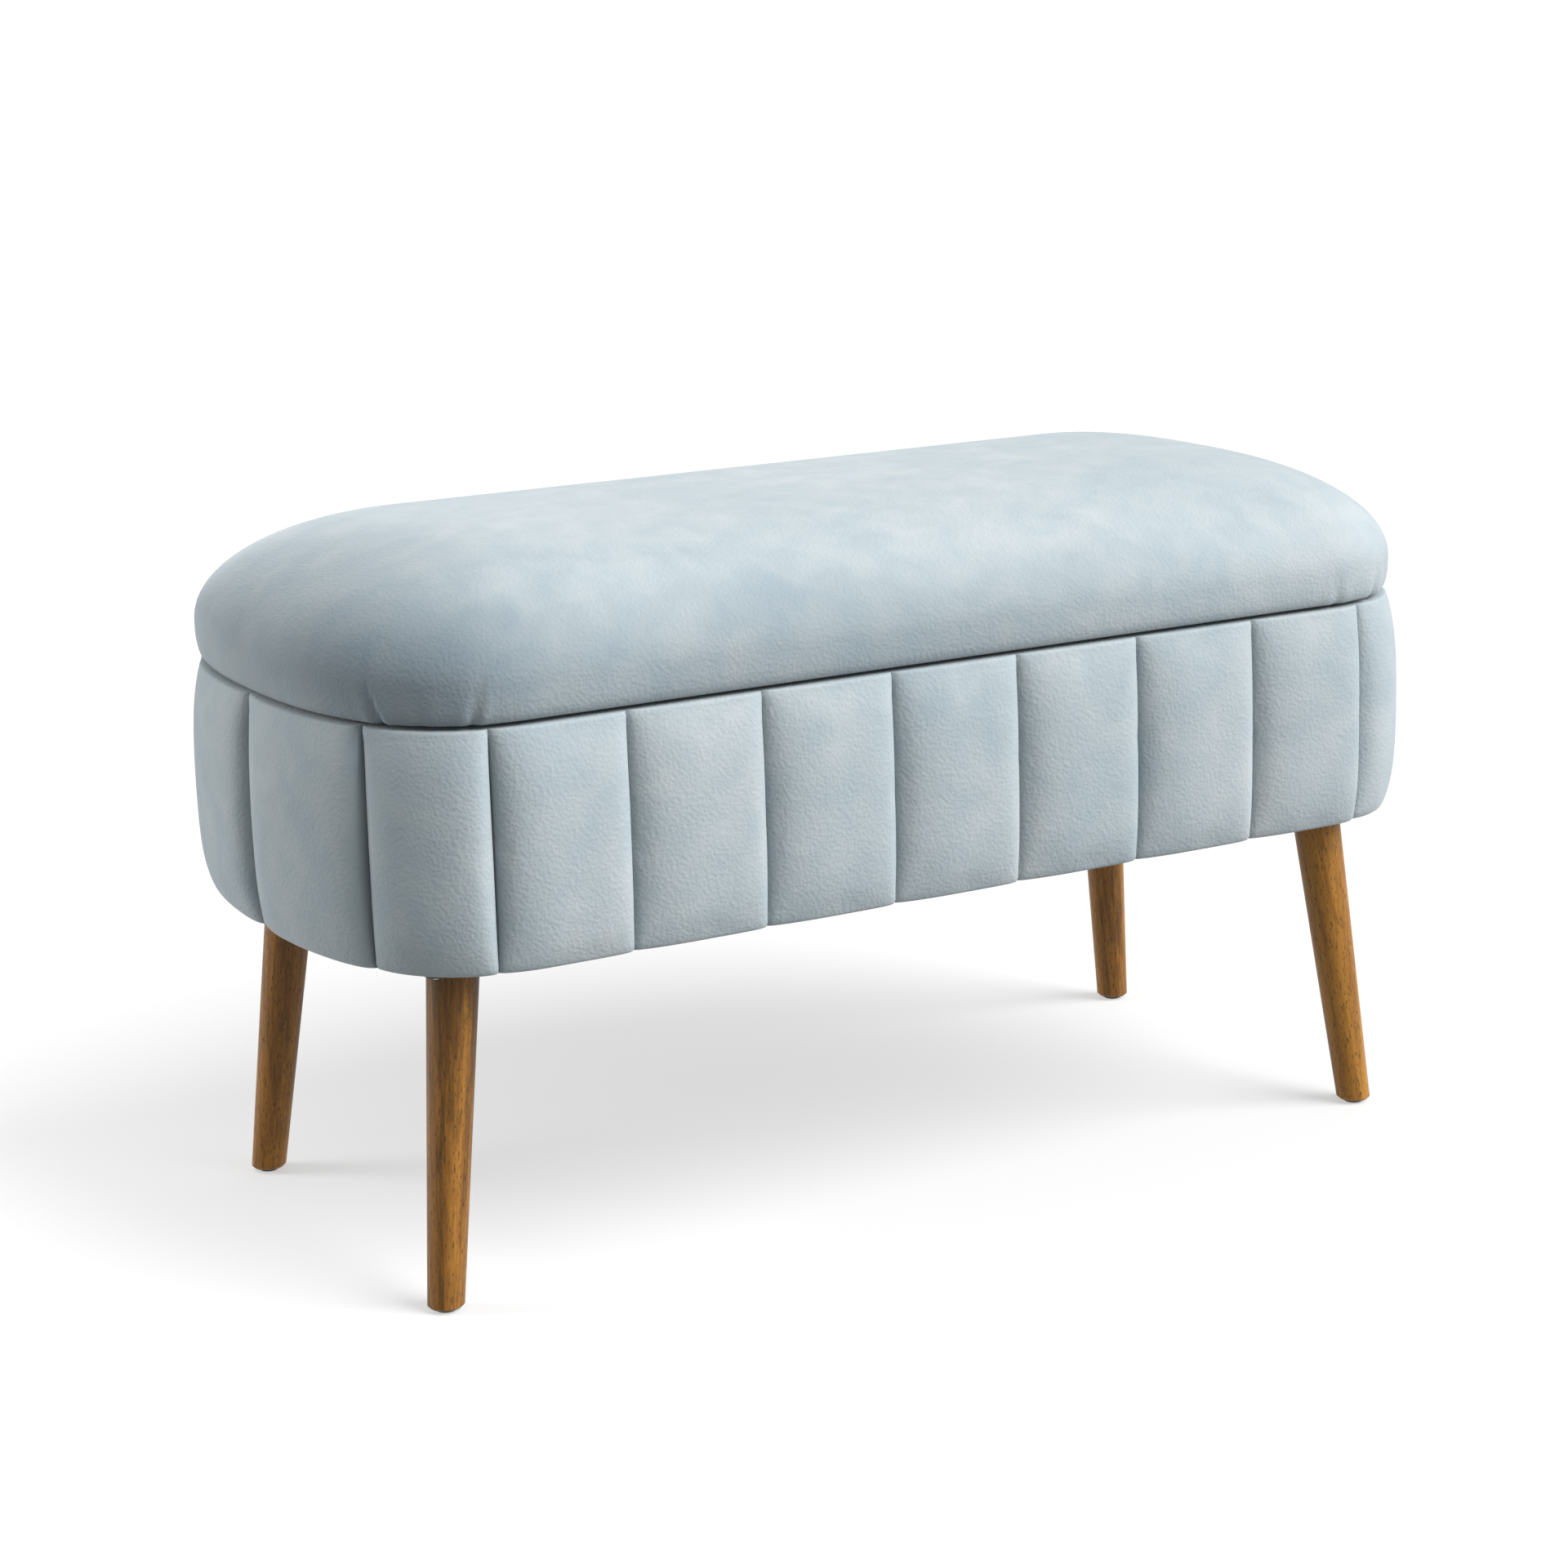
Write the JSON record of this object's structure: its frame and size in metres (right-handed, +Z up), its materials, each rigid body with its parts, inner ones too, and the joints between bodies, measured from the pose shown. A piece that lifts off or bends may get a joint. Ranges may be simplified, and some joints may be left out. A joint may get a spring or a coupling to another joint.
{
  "type": "storage bench",
  "caption": "Upholstered storage bench with a domed cushion lid hinged at the back, a vertically channelled box with rounded ends, and splayed round wooden legs.",
  "frame": {"origin": "on the floor, under the middle of the bench", "axes": "+X along the length to the right seen from the front, +Y towards the back where the lid hinges, +Z up"},
  "size_m": [0.896, 0.4358, 0.507],
  "materials": {
    "velvet": "matte",
    "foam": "matte",
    "lining": "matte",
    "dust_cloth": "matte",
    "leg_wood": "satin",
    "plywood": "matte",
    "zinc_steel": "satin",
    "black_plastic": "matte",
    "bumper_rubber": "matte"
  },
  "bodies": {
    "box": {"base_board": "plywood", "front_panel": "plywood", "rear_panel": "plywood", "end_panel_left": "plywood", "end_panel_right": "plywood", "post_front_left": "plywood", "post_front_right": "plywood", "post_rear_left": "plywood", "post_rear_right": "plywood", "rim_frame": "plywood", "body_foam": "foam", "body_cover": "velvet", "wall_lining": "lining", "floor_lining": "lining", "dust_cover": "dust_cloth", "leg_front_left": "leg_wood", "leg_front_right": "leg_wood", "leg_rear_left": "leg_wood", "leg_rear_right": "leg_wood", "leg_plate_front_left": "zinc_steel", "leg_plate_front_right": "zinc_steel", "leg_plate_rear_left": "zinc_steel", "leg_plate_rear_right": "zinc_steel", "glide_front_left": "black_plastic", "glide_front_right": "black_plastic", "glide_rear_left": "black_plastic", "glide_rear_right": "black_plastic", "hanger_bolts": "zinc_steel", "leg_plate_screws": "zinc_steel", "rim_bumpers": "bumper_rubber", "hinge_box_leaf_left": "zinc_steel", "hinge_box_leaf_right": "zinc_steel", "hinge_pin_left": "zinc_steel", "hinge_pin_right": "zinc_steel", "hinge_box_screws": "zinc_steel", "stay_box_bracket_left": "zinc_steel", "stay_box_bracket_right": "zinc_steel", "stay_studs": "zinc_steel", "stay_box_screws": "zinc_steel"},
    "lid": {"lid_board": "plywood", "lid_foam": "foam", "lid_cover": "velvet", "lid_lining": "lining", "hinge_lid_leaf_left": "zinc_steel", "hinge_lid_leaf_right": "zinc_steel", "hinge_lid_screws": "zinc_steel", "stay_lid_bracket_left": "zinc_steel", "stay_lid_bracket_right": "zinc_steel", "stay_rivets": "zinc_steel", "stay_lid_screws": "zinc_steel"},
    "stay_left": {"stay_arm_left": "zinc_steel"},
    "stay_right": {"stay_arm_right": "zinc_steel"}
  },
  "joints": [
    {"name": "lid_hinge", "type": "hinge", "parent": "box", "child": "lid", "pos_m": [0, 0.2145, 0.4035], "axis": [-1, 0, 0], "range_deg": [0, 80]},
    {"name": "stay_left_pivot", "type": "hinge", "parent": "lid", "child": "stay_left", "pos_m": [-0.294, 0.13401, 0.39504], "axis": [1, 0, 0], "range_deg": [0, 40]},
    {"name": "stay_right_pivot", "type": "hinge", "parent": "lid", "child": "stay_right", "pos_m": [0.294, 0.13401, 0.39504], "axis": [1, 0, 0], "range_deg": [0, 40]}
  ],
  "couplings": [
    {"joint": "stay_left_pivot", "follows": "lid_hinge", "ratio": 0.5},
    {"joint": "stay_right_pivot", "follows": "lid_hinge", "ratio": 0.5}
  ]
}
